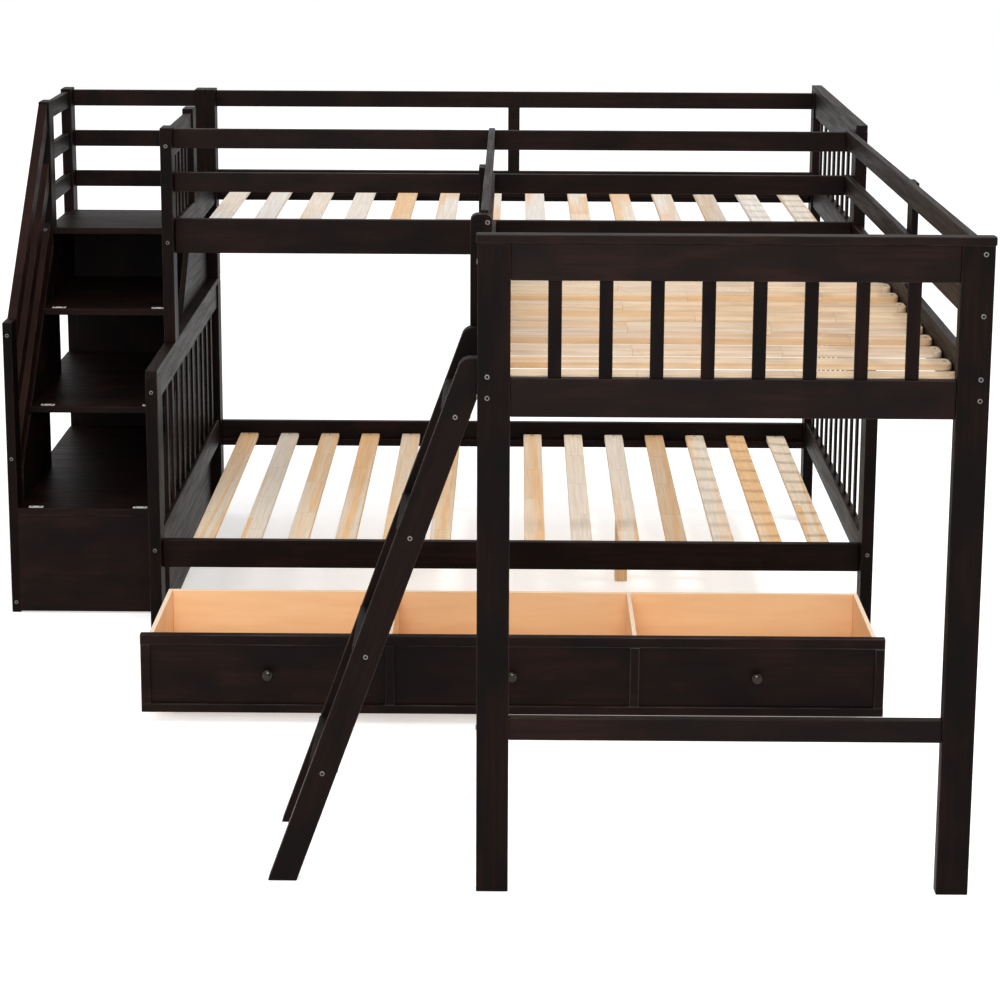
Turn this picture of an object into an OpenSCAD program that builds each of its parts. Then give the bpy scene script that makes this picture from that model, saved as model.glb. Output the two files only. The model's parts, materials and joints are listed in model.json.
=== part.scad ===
// L shaped bunk bed: a full bed below a twin bunk, a twin loft joined at a right angle in front,
// a staircase with open cubbies at one end, a leaning ladder and a wide roll-out drawer.
// Millimetres, +Z up. X runs along the bunk, Y runs from the loft's front to the bunk's back.

/* [Beds] */
// Outside length of the two stacked beds
bed_len = 2020; // [1900:10:2200]
// Outside depth of the lower, full-size bed
full_depth = 1455; // [1350:5:1600]
// Outside depth of the upper bunk and outside width of the loft
twin_depth = 1080; // [1020:5:1200]
// How far the loft stands out in front of the upper bunk
loft_reach = 1895; // [1750:5:2100]
// Height of the lower end frames' posts
lower_post_h = 804; // [700:2:900]
// Height of the guard rails' top edge above the floor
guard_top = 1447; // [1380:1:1560]

/* [Timber] */
// Width of a post's wide side
post_w = 70; // [60:1:90]
// Width of a post's narrow side
post_t = 33; // [28:1:40]
// Thickness of side rails, end rails and guard rails
rail_t = 22; // [18:1:25]
// Thickness of the cap board on an end frame
cap_t = 18; // [14:1:24]
// How far the loft's cap stands out past its posts in front
cap_lip = 2; // [0:1:6]
// How far the loft's cap stands out past its posts at each end
cap_end = 3; // [0:1:8]
// Rounding of the long edges of every board
edge_r = 2; // [1:0.5:3]

/* [Side rails] */
// Height of a side rail on the upper bunk and the loft
side_rail_h = 100; // [90:1:120]
// Underside of the upper bunk's and the loft's side rails
side_rail_z = 1077; // [1073:1:1090]
// Height of a side rail on the lower bed
low_rail_h = 80; // [75:1:100]
// Underside of the lower bed's side rails
low_rail_z = 245; // [245:1:290]
// How far a front side rail is set back from the face of its posts
rail_setback = 48; // [40:1:48]
// How far the loft's right side rail is set in from the outer face of its post
loft_rail_inset = 9; // [0:1:11]

/* [End frames] */
// Height of an end frame's top rail
end_top_h = 80; // [60:1:100]
// Height of an end frame's bottom rail
end_bottom_h = 84; // [70:1:100]
// Underside of the bottom rail on the upper and loft end frames
end_bottom_z = 1073; // [1060:1:1077]
// Underside of the bottom rail on the lower end frames
low_end_z = 260; // [252:1:290]
// Width of a spindle
spindle_w = 29; // [22:1:36]
// Thickness of a spindle
spindle_t = 7; // [6:1:14]
// Spindles on a lower end frame
low_spindles = 11; // [9:1:13]
// Spindles on the upper right and on the loft end frame
top_spindles = 8; // [6:1:10]
// Spindles beside the entry from the stairs
entry_spindles = 5; // [3:1:6]
// Clear way from the landing into the upper bunk
entry_gap = 465; // [420:5:520]
// How much lower than its posts the entry end's top rail lies
entry_rail_drop = 12; // [5:1:30]
// Height of the loft's stretcher board
stretcher_h = 51; // [45:1:80]
// Underside of the loft's stretcher
stretcher_z = 350; // [300:1:450]

/* [Guards] */
// Height of a guard rail
guard_h = 52; // [46:1:60]
// Height of a guard rail on the upper bunk's front
front_guard_h = 56; // [46:1:60]
// Thickness of a guard rail
guard_t = 18; // [15:1:22]
// How much lower than the posts the bunk's and the landing's guards lie
guard_drop = 8; // [0:1:15]
// Share of the open height above a side rail that lies between its two guard rails
guard_share = 0.47; // [0.4:0.01:0.6]
// Share of the open height above the landing that lies between two of its three guard rails
landing_share = 0.35; // [0.3:0.01:0.4]
// Width of the post in the middle of the back guard
back_post_w = 38; // [30:1:60]
// Thickness of the posts screwed outside the loft's guards
guard_post_t = 16; // [12:1:18]
// How far inside the bunk's right post the back ends of the loft's right guards lie
guard_skew = 7; // [0:1:10]
// Width of the loft's entry, above the ladder
loft_entry = 374; // [365:1:450]
// Thickness of the gate post beside the loft's entry
gate_post_t = 33; // [25:1:40]
// Width of the gate post's head
gate_head_w = 49; // [42:1:60]
// How far the gate post's outer leg stands out from the side rail
gate_leg_t = 23; // [18:1:30]
// Radius of the gate post's rounded top
gate_r = 16; // [8:1:20]
// How much lower than the guard the gate post ends
gate_drop = 5; // [0:1:15]

/* [Slats] */
// Slats on each bed
slat_count = 14; // [10:1:16]
// Width of a slat
slat_w = 60; // [50:1:75]
// Thickness of a slat
slat_t = 15; // [12:1:20]
// How far a slat's top lies below the side rail's top
slat_drop = 41; // [25:1:45]
// Room left at each end of a slat
slat_play = 2; // [1:0.5:4]
// Room between the end frame and the first slat
slat_margin = 62; // [40:1:100]
// Room between the loft's end frame and its first slat
loft_slat_margin = 100; // [60:1:120]
// Rounding of a slat's corners
slat_r = 12; // [4:1:20]
// Side of a ledger under the slats
ledger_w = 22; // [18:1:30]
// Height of a ledger
ledger_h = 24; // [18:1:30]
// Side of a square leg under the lower bed's middle
leg_w = 38; // [30:1:50]
// Which slat from the end carries a middle leg
leg_slat = 4; // [2:1:4]

/* [Ladder] */
// Width over the ladder's rails
ladder_w = 355; // [330:1:360]
// Width of a ladder rail
ladder_rail_w = 60; // [50:1:75]
// Thickness of a ladder rail
ladder_rail_t = 33; // [25:1:40]
// How far the middle of the ladder's foot stands out from the loft
ladder_foot = 431; // [380:1:480]
// Lean of the ladder from upright, in degrees
ladder_lean = 19.87; // [15:0.01:23]
// Room between the end frame and the near ladder rail
ladder_inset = 15; // [5:1:25]
// Number of ladder steps
ladder_steps_n = 4; // [3:1:5]
// Middle of the lowest step above the floor
first_step_z = 253; // [220:1:280]
// Rise from one ladder step to the next
step_rise = 269.5; // [240:0.5:280]
// Thickness of a ladder step
step_t = 24; // [18:1:30]
// Top of the ladder's rails
ladder_top_z = 1190; // [1170:1:1230]
// Rounding of the ladder rails' top corner
ladder_r = 28; // [10:1:35]

/* [Stairs] */
// Outside width of the staircase
stair_w = 470; // [430:5:600]
// Thickness of the newel, the handrails and the stringer
newel_t = 27; // [22:1:30]
// Height of the newel
newel_h = 877; // [840:1:920]
// Top of the first tread
tread_1_z = 319; // [300:1:340]
// Rise from one tread to the next
tread_rise = 255; // [240:1:265]
// Run from one tread's front edge to the next
tread_run = 225; // [210:1:240]
// Thickness of a tread
tread_t = 20; // [16:1:24]
// Top of the landing
landing_z = 1050; // [1040:1:1060]
// Front edge of the landing behind the stairs' front
landing_front = 645; // [600:1:660]
// Thickness of the side and front panels
panel_t = 18; // [12:1:20]
// Thickness of the back panel
back_panel_t = 12; // [6:1:18]
// Gap between the front panel and the floor
panel_foot = 4; // [2:1:15]
// Front face of the tall post behind the stairs' front
tall_post_y = 638; // [610:1:645]
// Back edge of the side panel in the first cubby
cubby_front = 500; // [420:1:600]
// Width of the slanted boards, square to their length
slant_w = 52; // [44:1:60]
// Height of the stringer's top edge, carried forward to the stairs' front
stringer_z = 429; // [415:1:445]

/* [Drawer] */
// Width of the drawer's front
drawer_w = 1930; // [1700:5:1935]
// Middle of the drawer right of the bunk's middle
drawer_x = 6; // [-8:1:8]
// How far the drawer is rolled out of the bed
drawer_out = 515; // [300:5:560]
// Depth of the drawer's box behind its front
box_depth = 368; // [300:1:500]
// Bottom edge of the drawer's front
drawer_z = 28; // [22:1:30]
// Height of the drawer's front
drawer_h = 212; // [190:1:214]
// Thickness of the drawer's front board
front_t = 14; // [10:1:20]
// Thickness of the frame on the drawer's front
face_t = 8; // [5:1:12]
// Width of the frame's upper strip
strip_top = 28; // [20:1:40]
// Width of the frame's lower strip
strip_low = 24; // [20:1:40]
// Width of the frame's upright strips
stile_w = 25; // [18:1:40]
// Thickness of the box's boards
box_t = 12; // [9:1:16]
// Thickness of the box's bottom
bottom_t = 6; // [4:1:9]
// How far each side of the box lies inside the end of the front
box_inset = 21; // [15:1:40]
// How far the box's rim lies below the front's top
rim_drop = 2; // [0:1:10]
// Diameter of a knob
knob_d = 30; // [24:1:38]
// How far a knob stands out
knob_h = 25; // [18:1:32]

/* [Casters] */
// Radius of a caster wheel
wheel_r = 18; // [14:1:18]
// Width of a caster wheel
wheel_w = 16; // [10:1:22]
// Radius of a caster's axle
axle_r = 3; // [2:0.5:4]
// Radial clearance of a wheel on its axle
wheel_clear = 0.05; // [0.02:0.01:0.1]
// Clearance beside and above a wheel
fork_clear = 1.5; // [1:0.5:3]
// Thickness of a fork's ears and plate
fork_t = 3; // [2:0.5:4]
// Casters in each row
casters_row = 3; // [2:1:4]
// How far a caster's middle lies inside the box
caster_inset = 60; // [40:1:90]

/* [Hidden] */

espresso = "#2b1c18";
pine = "#e3c79b";
birch = "#e8b984";
bronze = "#3a2c25";
steel = "#9a9a98";
nylon = "#2a2a2c";

$fn = 48;

// Places along X, from the bunk's middle
end_x = bed_len / 2;
inner_x = end_x - post_t;
loft_left = end_x - twin_depth;
stair_left = -end_x - stair_w;
stair_right_in = -end_x - panel_t;
stair_post_in = stair_left + post_t;
stair_panel_out = stair_post_in - panel_t;

// Places along Y, from the upper bunk's front
back_y = twin_depth;
back_post_y = back_y - post_w;
low_front_y = back_y - full_depth;
low_inner_y = low_front_y + post_w;
loft_front = -loft_reach;
loft_inner = loft_front + post_t;
front_rail_y = rail_setback;
low_rail_y = low_front_y + rail_setback;
shelf_back = back_post_y - back_panel_t;

// Places along Z
low_top = lower_post_h + cap_t;
frame_top = guard_top + cap_t;
side_top = side_rail_z + side_rail_h;
low_side_top = low_rail_z + low_rail_h;
slat_top = side_top - slat_drop;
low_slat_top = low_side_top - slat_drop;
end_bottom_top = end_bottom_z + end_bottom_h;

// Middle of the whole part's outline on the floor
shift = [-(stair_left + end_x + cap_end) / 2, -(loft_front - cap_lip + back_y) / 2, 0];

// Loft guards: the left one ends at the gate post beside the entry
gate_front = loft_inner + loft_entry;
gate_back = gate_front + gate_post_t;
loft_right_out = end_x - loft_rail_inset;
loft_right_in = loft_right_out - rail_t;
loft_left_in = loft_left + rail_t;
bunk_guard_top = guard_top - guard_drop;

// Step from one guard rail down to the next, from the height left open between them
function guard_step(top, h) = h + guard_share * (top - side_top - 2 * h);
landing_step = guard_h + landing_share * (bunk_guard_top - landing_z - 3 * guard_h);

// Ladder lines in the XZ plane
lean = tan(ladder_lean);
foot_x = loft_left - ladder_foot;
half_w = ladder_rail_w / 2 / cos(ladder_lean);
ladder_near = loft_inner + ladder_inset;
ladder_far = ladder_near + ladder_w - ladder_rail_t;

// Slanted boards: all rise at 45 degrees
slant_drop = slant_w * sqrt(2);
stringer_low = stringer_z - slant_drop;
handrail_z = newel_h - 5 - post_w;
mid_slant_z = (handrail_z + stringer_z) / 2;

// Drawer
face_y = low_front_y - drawer_out;
front_y = face_y + face_t;
box_y = front_y + front_t;
box_back = box_y + box_depth;
rim_z = drawer_z + drawer_h - rim_drop;
plate_z = 2 * wheel_r + fork_clear;
floor_z = plate_z + fork_t;
box_x = drawer_w / 2 - box_inset;
panel_pitch = (drawer_w - stile_w) / 3;
row_front = box_y + caster_inset;
row_rear = box_back - caster_inset;

// ---------- shared shapes ----------

// Corner points of a w by h rectangle whose corners are rounded by r in n steps
function eased(w, h, r, n = 2) = [
    for (c = [[w - r, h - r, 0], [r, h - r, 90], [r, r, 180], [w - r, r, 270]])
        for (i = [0:n]) [c[0] + r * cos(c[2] + 90 * i / n), c[1] + r * sin(c[2] + 90 * i / n)]];

// Board from corner lo to corner hi, with the edges along one axis rounded
module board(lo, hi, along, r = edge_r) {
    d = hi - lo;
    if (along == "x")
        translate(lo) rotate([90, 0, 90]) linear_extrude(d[0]) polygon(eased(d[1], d[2], r));
    if (along == "y")
        translate([lo[0], hi[1], lo[2]]) rotate([90, 0, 0])
            linear_extrude(d[1]) polygon(eased(d[0], d[2], r));
    if (along == "z")
        translate(lo) linear_extrude(d[2]) polygon(eased(d[0], d[1], r));
}

// Profile drawn in the YZ plane and given a thickness from x0 to x1
module side_profile(x0, x1, points)
    translate([x0, 0, 0]) rotate([90, 0, 90]) linear_extrude(x1 - x0) polygon(points);

// Profile drawn in the XZ plane and given a thickness from y0 to y1
module front_profile(y0, y1, points)
    translate([0, y1, 0]) rotate([90, 0, 0]) linear_extrude(y1 - y0) polygon(points);

// Moves the bunk's middle to the middle of the whole outline
module place() translate(shift) children();

// Mirrors a left end's piece to the right end when side is 1
module at_end(side) mirror([side > 0 ? 1 : 0, 0, 0]) children();

// Two posts of an end frame that stands across X at the left end
module end_posts(front, back, z0, z1)
    for (y = [front, back - post_w])
        board([-end_x, y, z0], [-inner_x, y + post_w, z1], "z");

// Cap board on a left end frame
module end_cap(front, back, z)
    translate([-end_x, front, z]) linear_extrude(cap_t)
        polygon(eased(post_t, back - front, 6, 3));

// Rail of a left end frame, in the middle of its posts' thickness
module end_rail(y0, y1, z0, z1)
    board([-end_x + (post_t - rail_t) / 2, y0, z0], [-inner_x - (post_t - rail_t) / 2, y1, z1], "y");

// Evenly spaced spindles between y0 and y1 of a left end frame
module end_spindles(y0, y1, z0, z1, count) {
    gap = (y1 - y0 - count * spindle_w) / (count + 1);
    x = -end_x + (post_t - spindle_t) / 2;
    for (i = [0:count - 1])
        let (y = y0 + gap + i * (gap + spindle_w))
            board([x, y, z0], [x + spindle_t, y + spindle_w, z1], "z", edge_r / 2);
}

// A bed's front and back side rails
module bed_rails(front, z, h)
    for (y = [front, back_y - rail_t])
        board([-inner_x, y, z], [inner_x, y + rail_t, z + h], "x");

// Ledgers inside a bed's side rails, which carry the slats
module bed_ledgers(front, top)
    for (y = [front + rail_t, back_y - rail_t - ledger_w])
        board([-inner_x, y, top - slat_t - ledger_h], [inner_x, y + ledger_w, top - slat_t], "x");

// Place of slat i between two end frames
function slat_x(i) = let (first = -inner_x + slat_margin)
    first + i * (2 * (inner_x - slat_margin) - slat_w) / (slat_count - 1);

// One flat slat with rounded corners, from lo, l by w
module slat(lo, l, w)
    translate(lo) linear_extrude(slat_t) polygon(eased(l, w, slat_r, 3));

// Slats laid across a bed from its front rail to its back rail
module bed_slats(front, top)
    for (i = [0:slat_count - 1])
        let (y0 = front + rail_t + slat_play, y1 = back_y - rail_t - slat_play)
            slat([slat_x(i), y0, top - slat_t], slat_w, y1 - y0);

// ---------- lower bed ----------

module lower_posts(side) at_end(side) end_posts(low_front_y, back_y, 0, lower_post_h);
module lower_cap(side) at_end(side) end_cap(low_front_y, back_y, lower_post_h);
module lower_rails(side) at_end(side) {
    end_rail(low_inner_y, back_post_y, lower_post_h - end_top_h, lower_post_h);
    end_rail(low_inner_y, back_post_y, low_end_z, low_end_z + end_bottom_h);
}
module lower_spindles(side) at_end(side)
    end_spindles(low_inner_y, back_post_y, low_end_z + end_bottom_h, lower_post_h - end_top_h,
        low_spindles);

module lower_left_posts() color(espresso) place() lower_posts(-1);
module lower_left_cap() color(espresso) place() lower_cap(-1);
module lower_left_rails() color(espresso) place() lower_rails(-1);
module lower_left_spindles() color(espresso) place() lower_spindles(-1);
module lower_right_posts() color(espresso) place() lower_posts(1);
module lower_right_cap() color(espresso) place() lower_cap(1);
module lower_right_rails() color(espresso) place() lower_rails(1);
module lower_right_spindles() color(espresso) place() lower_spindles(1);
module lower_side_rails() color(espresso) place() bed_rails(low_rail_y, low_rail_z, low_rail_h);
module lower_ledgers() color(espresso) place() bed_ledgers(low_rail_y, low_slat_top);
module lower_slats() color(pine) place() bed_slats(low_rail_y, low_slat_top);

// Square legs under the middle of two slats
module lower_middle_legs() color(pine) place()
    for (i = [leg_slat, slat_count - 1 - leg_slat])
        let (x = slat_x(i) + (slat_w - leg_w) / 2, y = (low_front_y + back_y - leg_w) / 2)
            board([x, y, 0], [x + leg_w, y + leg_w, low_slat_top - slat_t], "z");

// ---------- upper bunk ----------

entry_front = back_post_y - entry_gap;

module upper_left_posts() color(espresso) place() end_posts(0, back_y, low_top, guard_top);

// Post beside the entry from the landing, standing on the end's bottom rail
module upper_entry_post() color(espresso) place()
    board([-end_x, entry_front - post_w, end_bottom_top], [-inner_x, entry_front, guard_top], "z");

module upper_left_rails() color(espresso) place() {
    top = guard_top - entry_rail_drop;
    end_rail(post_w, entry_front - post_w, top - end_top_h, top);
    end_rail(post_w, back_post_y, end_bottom_z, end_bottom_top);
}

module upper_left_spindles() color(espresso) place()
    end_spindles(post_w, entry_front - post_w, end_bottom_top,
        guard_top - entry_rail_drop - end_top_h, entry_spindles);

module upper_right_posts() color(espresso) place() at_end(1)
    end_posts(0, back_y, low_top, guard_top);
module upper_right_cap() color(espresso) place() at_end(1) end_cap(0, back_y, guard_top);
module upper_right_rails() color(espresso) place() at_end(1) {
    end_rail(post_w, back_post_y, guard_top - end_top_h, guard_top);
    end_rail(post_w, back_post_y, end_bottom_z, end_bottom_top);
}
module upper_right_spindles() color(espresso) place() at_end(1)
    end_spindles(post_w, back_post_y, end_bottom_top, guard_top - end_top_h, top_spindles);
module upper_side_rails() color(espresso) place() bed_rails(front_rail_y, side_rail_z, side_rail_h);
module upper_ledgers() color(espresso) place() bed_ledgers(front_rail_y, slat_top);
module upper_slats() color(pine) place() bed_slats(front_rail_y, slat_top);

// Two guard rails along the front of the upper bunk
module upper_front_guards() color(espresso) place()
    for (top = [bunk_guard_top, bunk_guard_top - guard_step(bunk_guard_top, front_guard_h)])
        board([-inner_x, front_rail_y, top - front_guard_h],
            [inner_x, front_rail_y + guard_t, top], "x");

// Guard rail along the back, held in the middle by a short post on the side rail
module upper_back_guard() color(espresso) place() {
    y = back_y - guard_t;
    low = bunk_guard_top - guard_h;
    board([-inner_x, y, low], [inner_x, back_y, bunk_guard_top], "x");
    board([-back_post_w / 2, y, side_top], [back_post_w / 2, back_y, low], "z");
}

// ---------- loft ----------

loft_rail_y = loft_front + (post_t - rail_t) / 2;

module loft_posts() color(espresso) place()
    for (x = [loft_left, end_x - post_w])
        board([x, loft_front, 0], [x + post_w, loft_inner, guard_top], "z");

module loft_cap() color(espresso) place()
    translate([loft_left - cap_end, loft_front - cap_lip, guard_top]) linear_extrude(cap_t)
        polygon(eased(twin_depth + 2 * cap_end, post_t + cap_lip, 6, 3));

// Rail between the loft's front posts
module loft_rail(z, h)
    board([loft_left + post_w, loft_rail_y, z], [end_x - post_w, loft_rail_y + rail_t, z + h], "x");

module loft_end_rails() color(espresso) place() {
    loft_rail(guard_top - end_top_h, end_top_h);
    loft_rail(end_bottom_z, end_bottom_h);
}

module loft_stretcher() color(espresso) place() loft_rail(stretcher_z, stretcher_h);

module loft_spindles() color(espresso) place() {
    clear = twin_depth - 2 * post_w;
    gap = (clear - top_spindles * spindle_w) / (top_spindles + 1);
    y = loft_front + (post_t - spindle_t) / 2;
    for (i = [0:top_spindles - 1])
        let (x = loft_left + post_w + gap + i * (gap + spindle_w))
            board([x, y, end_bottom_top], [x + spindle_w, y + spindle_t, guard_top - end_top_h],
                "z", edge_r / 2);
}

// The left side rail reaches the bunk's front rail, the right one the face of the bunk's post
module loft_side_rails() color(espresso) place() {
    top = side_rail_z + side_rail_h;
    board([loft_left, loft_inner, side_rail_z], [loft_left_in, front_rail_y, top], "y");
    board([loft_right_in, loft_inner, side_rail_z], [loft_right_out, 0, top], "y");
}

module loft_ledgers() color(espresso) place()
    for (x = [loft_left_in, loft_right_in - ledger_w])
        board([x, loft_inner, slat_top - slat_t - ledger_h], [x + ledger_w, 0, slat_top - slat_t],
            "y");

module loft_slats() color(pine) place() {
    first = loft_inner + loft_slat_margin;
    pitch = (-slat_margin / 2 - slat_w - first) / (slat_count - 1);
    x0 = loft_left_in + slat_play;
    for (i = [0:slat_count - 1])
        slat([x0, first + i * pitch, slat_top - slat_t], loft_right_in - slat_play - x0, slat_w);
}

// Outer face of the right guards, which run slightly inwards to pass inside the bunk's post
function right_guard_x(y) = let (front = loft_right_out - (rail_t - guard_t) / 2)
    front - (front - inner_x + guard_skew) * (y - loft_inner) / (front_rail_y - loft_inner);

module loft_guard_rails() color(espresso) place() {
    front = right_guard_x(loft_inner);
    back = right_guard_x(front_rail_y);
    for (top = [guard_top, guard_top - guard_step(guard_top, guard_h)]) {
        board([loft_left, gate_back, top - guard_h], [loft_left + guard_t, front_rail_y, top], "y");
        translate([0, 0, top - guard_h]) linear_extrude(guard_h)
            polygon([[front - guard_t, loft_inner], [front, loft_inner],
                [back, front_rail_y], [back - guard_t, front_rail_y]]);
    }
}

// Posts outside the guards, halfway along: one on the side rail's face, one on its top
module loft_guard_posts() color(espresso) place() {
    top = guard_top - gate_drop;
    y = (gate_back + front_rail_y - post_w) / 2;
    board([loft_left - guard_post_t, y, side_rail_z], [loft_left, y + post_w, top], "z");
    y0 = (loft_inner - post_w) / 2;
    y1 = y0 + post_w;
    translate([0, 0, side_top]) linear_extrude(top - side_top)
        polygon([[right_guard_x(y0), y0], [loft_right_out, y0], [loft_right_out, y1],
            [right_guard_x(y1), y1]]);
}

// Post that ends the left guard: its head stands on the side rail, its leg hangs outside it
module loft_gate_post() color(espresso) place() {
    top = guard_top - gate_drop;
    x = loft_left - gate_leg_t;
    front_profile(gate_front, gate_back, concat(
        [[x, side_rail_z], [loft_left, side_rail_z], [loft_left, side_top],
            [x + gate_head_w, side_top]],
        [for (a = [0:15:90])
            [x + gate_head_w - gate_r + gate_r * cos(a), top - gate_r + gate_r * sin(a)]],
        [for (a = [90:15:180]) [x + gate_r + gate_r * cos(a), top - gate_r + gate_r * sin(a)]]));
}

// ---------- ladder ----------

// A rail leans on the loft's side rail: cut level at the floor, upright at its top, one round corner
module ladder_rails() color(espresso) place() {
    left = foot_x - half_w;
    right = foot_x + half_w;
    corner_x = left + lean * (ladder_top_z - ladder_r) + ladder_r;
    for (y = [ladder_near, ladder_far])
        front_profile(y, y + ladder_rail_t, concat(
            [[left, 0], [right, 0], [loft_left, (loft_left - right) / lean],
                [loft_left, ladder_top_z]],
            [for (a = [90:15:180 - ladder_lean])
                [corner_x + ladder_r * cos(a), ladder_top_z - ladder_r + ladder_r * sin(a)]]));
}

module ladder_steps() color(espresso) place()
    for (i = [0:ladder_steps_n - 1])
        let (z = first_step_z + i * step_rise, x = foot_x + lean * z)
            board([x - half_w, ladder_near + ladder_rail_t, z - step_t / 2],
                [x + half_w, ladder_far, z + step_t / 2], "y");

// ---------- stairs ----------

// Top of tread i, counted from 0
function tread_z(i) = tread_1_z + i * tread_rise;

module stair_newel() color(espresso) place()
    board([stair_left, 0, 0], [stair_left + newel_t, post_w, newel_h], "z");

// Stands on the second tread and carries the handrails and the landing's guard
module stair_tall_post() color(espresso) place()
    board([stair_left, tall_post_y, tread_z(1)],
        [stair_post_in, tall_post_y + post_w, guard_top], "z");

module stair_back_posts() color(espresso) place()
    for (x = [stair_left, -end_x - post_t])
        board([x, back_post_y, 0], [x + post_t, back_y, guard_top], "z");

// Slanted board between the newel and the tall post; z is its top edge at the stairs' front
module slant_board(z)
    side_profile(stair_left, stair_left + newel_t,
        [for (p = [[post_w, 0], [tall_post_y, 0], [tall_post_y, slant_drop], [post_w, slant_drop]])
            [p[0], z + p[0] - p[1]]]);

module stair_handrails() color(espresso) place() {
    slant_board(handrail_z);
    slant_board(mid_slant_z);
}

module stair_stringer() color(espresso) place() slant_board(stringer_z);

// Side panels under the slanted boards, one for each level
module stair_left_panels() color(espresso) place() {
    x = stair_panel_out;
    low = tread_1_z - tread_t;
    under_2 = tread_z(1) - tread_t;
    board([x, post_w, 0], [stair_post_in, shelf_back, low], "y", edge_r / 2);
    side_profile(x, stair_post_in, [[post_w, tread_1_z], [cubby_front, tread_1_z],
        [cubby_front, under_2], [under_2 - stringer_low, under_2],
        [post_w, stringer_low + post_w]]);
    side_profile(x, stair_post_in, [[tread_run, tread_z(1)], [tall_post_y, tread_z(1)],
        [tall_post_y, stringer_low + tall_post_y], [tread_run, stringer_low + tread_run]]);
    board([x, tall_post_y + post_w, tread_z(2) - tread_t], [stair_post_in, shelf_back, landing_z],
        "y", edge_r / 2);
}

// Panel against the beds, with a slanted front edge in line with the stringer
module stair_right_panel() color(espresso) place() {
    top = landing_z - tread_t;
    side_profile(stair_right_in, -end_x, [[0, 0], [back_post_y, 0], [back_post_y, top],
        [top - stringer_z, top], [0, stringer_z]]);
}

module stair_front_panel() color(espresso) place()
    board([stair_left + newel_t, 0, panel_foot],
        [stair_right_in, panel_t, tread_1_z - tread_t], "x", edge_r / 2);

module stair_back_panel() color(espresso) place()
    board([stair_post_in, shelf_back, 0], [stair_right_in, back_post_y, landing_z - tread_t],
        "x", edge_r / 2);

// Treads that run on to the back as the cubbies' shelves; the first is notched for the newel
module stair_treads() color(espresso) place() {
    translate([0, 0, tread_1_z - tread_t]) linear_extrude(tread_t)
        polygon([[stair_left + newel_t, 0], [stair_right_in, 0], [stair_right_in, shelf_back],
            [stair_left, shelf_back], [stair_left, post_w], [stair_left + newel_t, post_w]]);
    board([stair_left, tread_run, tread_z(1) - tread_t], [stair_right_in, shelf_back, tread_z(1)],
        "x", edge_r);
    board([stair_post_in, 2 * tread_run, tread_z(2) - tread_t],
        [stair_right_in, shelf_back, tread_z(2)], "x", edge_r);
}

module stair_landing() color(espresso) place()
    board([stair_post_in, landing_front, landing_z - tread_t], [-end_x, back_post_y, landing_z],
        "x", edge_r);

// Three guard rails on the landing's open side and three along its back
module landing_guards() color(espresso) place()
    for (i = [0:2])
        let (top = bunk_guard_top - i * landing_step,
            x = stair_left + (post_t - guard_t) / 2) {
            board([x, tall_post_y + post_w, top - guard_h], [x + guard_t, back_post_y, top], "y");
            board([stair_post_in, back_y - guard_t, top - guard_h],
                [-end_x - post_t, back_y, top], "x");
        }

// ---------- drawer ----------

// Moves to the drawer's middle
module in_drawer() place() translate([drawer_x, 0, 0]) children();

// Strips and stiles round three recessed panels, laid on the front board
module drawer_face() color(espresso) in_drawer() {
    top = drawer_z + drawer_h;
    for (z = [[drawer_z, drawer_z + strip_low], [top - strip_top, top]])
        board([-drawer_w / 2, face_y, z[0]], [drawer_w / 2, front_y, z[1]], "x");
    for (i = [0:3])
        let (x = -drawer_w / 2 + i * panel_pitch)
            board([x, face_y, drawer_z + strip_low], [x + stile_w, front_y, top - strip_top], "z");
}

module drawer_front() color(espresso) in_drawer()
    board([-drawer_w / 2, front_y, drawer_z], [drawer_w / 2, box_y, drawer_z + drawer_h], "x");

module drawer_sides() color(birch) in_drawer()
    for (x = [-box_x, box_x - box_t])
        board([x, box_y, floor_z + bottom_t], [x + box_t, box_back, rim_z], "y", edge_r / 2);

module drawer_back() color(birch) in_drawer()
    board([-box_x + box_t, box_back - box_t, floor_z + bottom_t],
        [box_x - box_t, box_back, rim_z], "x", edge_r / 2);

module drawer_dividers() color(birch) in_drawer()
    for (i = [-1, 1])
        let (x = i * panel_pitch / 2 - box_t / 2)
            board([x, box_y, floor_z + bottom_t], [x + box_t, box_back - box_t, rim_z],
                "y", edge_r / 2);

module drawer_bottom() color(birch) in_drawer()
    translate([-box_x, box_y, floor_z]) cube([2 * box_x, box_depth, bottom_t]);

// Turned knobs, one in the middle of each recessed panel
module drawer_knobs() color(bronze) in_drawer()
    for (i = [-1:1])
        translate([i * panel_pitch, front_y, drawer_z + drawer_h / 2]) rotate([90, 0, 0])
            rotate_extrude() polygon(concat(
                [[0, 0], [knob_d * 0.3, 0], [knob_d * 0.3, 2], [knob_d * 0.2, 5],
                    [knob_d * 0.2, knob_h * 0.45], [knob_d * 0.46, knob_h * 0.6]],
                [for (a = [0:15:90])
                    [knob_d / 2 * cos(a), knob_h * (0.7 + 0.3 * sin(a))]]));

// Places of the casters in one row
module caster_row(y)
    for (i = [0:casters_row - 1])
        translate([(i / (casters_row - 1) * 2 - 1) * (box_x - caster_inset), y, 0]) children();

// Fork of a fixed caster: a plate, two ears and a riveted axle
module fork() {
    half = wheel_w / 2 + fork_clear;
    ear = axle_r + 4;
    translate([-half - fork_t, -wheel_r, plate_z])
        cube([2 * (half + fork_t), 2 * wheel_r, fork_t]);
    for (x = [-half - fork_t, half]) {
        translate([x, -ear, wheel_r]) cube([fork_t, 2 * ear, plate_z - wheel_r + 0.5]);
        translate([x, 0, wheel_r]) rotate([0, 90, 0]) cylinder(r = ear, h = fork_t);
    }
    translate([-half - fork_t, 0, wheel_r]) rotate([0, 90, 0])
        cylinder(r = axle_r, h = 2 * (half + fork_t));
}

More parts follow.
